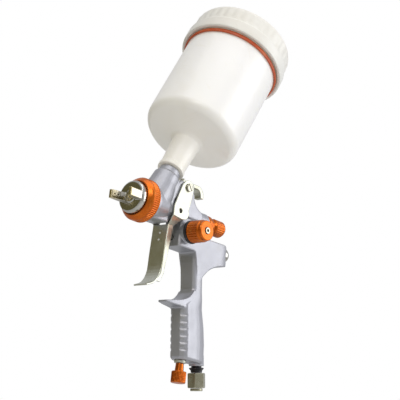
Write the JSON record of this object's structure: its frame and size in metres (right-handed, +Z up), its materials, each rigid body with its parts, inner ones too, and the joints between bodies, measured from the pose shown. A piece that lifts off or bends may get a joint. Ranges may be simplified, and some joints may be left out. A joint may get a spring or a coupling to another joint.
{
  "type": "hvlp spray gun",
  "caption": "Gravity-feed HVLP paint spray gun: satin metal pistol body, leaning white plastic cup with lid above, orange control knobs, trigger, hanging hook and air inlet.",
  "frame": {"origin": "on the seat inside the hanging hook on top of the gun, on the gun's middle plane", "axes": "+Z up along the grip, -X the way the gun sprays, +X towards the back of the gun, -Y the side with the fan knob"},
  "size_m": [0.1847, 0.1014, 0.3627],
  "materials": {
    "satin_body": "satin plated",
    "polished_nickel": "polished",
    "satin_nickel": "satin",
    "orange_anodised": "anodised",
    "brass": "machined",
    "steel": "turned",
    "black_oxide": "black oxide",
    "milky_plastic": "milky",
    "white_plastic": "smooth",
    "red_seal": "smooth",
    "pale_seal": "smooth"
  },
  "bodies": {
    "gun": {"gun_body": "satin_body", "air_baffle": "brass", "fluid_nozzle": "brass", "needle_packing": "pale_seal", "packing_nut": "brass", "fan_control_bush": "black_oxide", "air_valve_seat": "pale_seal", "air_valve_cap": "polished_nickel", "trigger_pivot_screw": "steel", "trigger_pivot_nut": "steel", "hanging_hook": "satin_nickel", "hook_screw": "steel", "air_inlet_collar": "black_oxide", "air_inlet_nut": "satin_nickel", "air_inlet_tail": "satin_nickel", "air_regulator_bush": "satin_nickel", "needle_spring": "steel", "air_valve_spring": "steel"},
    "trigger": {"trigger": "satin_nickel", "needle_push_bar": "steel"},
    "needle": {"fluid_needle": "steel"},
    "air_valve": {"air_valve_stem": "steel"},
    "air_cap": {"air_cap": "polished_nickel"},
    "cap_ring": {"air_cap_ring": "orange_anodised"},
    "fluid_knob": {"fluid_control_knob": "orange_anodised"},
    "lock_collar": {"needle_lock_collar": "orange_anodised"},
    "fan_knob": {"fan_control_knob": "orange_anodised", "fan_knob_screw": "steel", "fan_control_stem": "steel"},
    "regulator": {"air_regulator_knob": "orange_anodised", "air_regulator_stem": "steel"},
    "cup": {"paint_cup": "milky_plastic", "cup_filter": "white_plastic", "cup_seal_ring": "red_seal"},
    "lid": {"cup_lid": "white_plastic", "lid_vent_plug": "white_plastic"}
  },
  "joints": [
    {"name": "trigger_pull", "type": "hinge", "parent": "gun", "child": "trigger", "pos_m": [-0.0197, 0, -0.006], "axis": [0, -1, 0], "range_deg": [0, 10], "stiffness_Nm_per_rad": 2, "springref_deg": -11.46},
    {"name": "needle_slide", "type": "slide", "parent": "gun", "child": "needle", "axis": [1, 0, 0], "range_m": [0, 0.004], "deforming": ["needle_spring"]},
    {"name": "valve_slide", "type": "slide", "parent": "gun", "child": "air_valve", "axis": [1, 0, 0], "range_m": [0, 0.0082], "deforming": ["air_valve_spring"]},
    {"name": "air_cap_turn", "type": "hinge", "parent": "gun", "child": "air_cap", "pos_m": [-0.085, 0, -0.028], "axis": [1, 0, 0], "range_deg": [0, 90]},
    {"name": "cap_ring_turn", "type": "hinge", "parent": "gun", "child": "cap_ring", "pos_m": [-0.066, 0, -0.028], "axis": [-1, 0, 0], "range_deg": [0, 720]},
    {"name": "fluid_knob_turn", "type": "hinge", "parent": "gun", "child": "fluid_knob", "pos_m": [0.039, 0, -0.028], "axis": [1, 0, 0], "range_deg": [0, 720]},
    {"name": "lock_collar_turn", "type": "hinge", "parent": "gun", "child": "lock_collar", "pos_m": [0.025, 0, -0.028], "axis": [1, 0, 0], "range_deg": [0, 360]},
    {"name": "fan_knob_turn", "type": "hinge", "parent": "gun", "child": "fan_knob", "pos_m": [-0.012, -0.025, -0.0453], "axis": [0, -1, 0], "range_deg": [0, 540]},
    {"name": "regulator_turn", "type": "hinge", "parent": "gun", "child": "regulator", "pos_m": [0.0082, 0, -0.168], "axis": [0, 0, -1], "range_deg": [0, 540]},
    {"name": "cup_turn", "type": "hinge", "parent": "gun", "child": "cup", "pos_m": [-0.051, 0, -0.028], "axis": [0.4781, 0, 0.8783], "range_deg": [0, 360]},
    {"name": "lid_lift", "type": "slide", "parent": "cup", "child": "lid", "axis": [0.4781, 0, 0.8783], "range_m": [0, 0.05]}
  ],
  "couplings": [
    {"joint": "needle_slide", "follows": "trigger_pull", "m_per_rad": 0.022},
    {"joint": "valve_slide", "follows": "trigger_pull", "m_per_rad": 0.045}
  ]
}
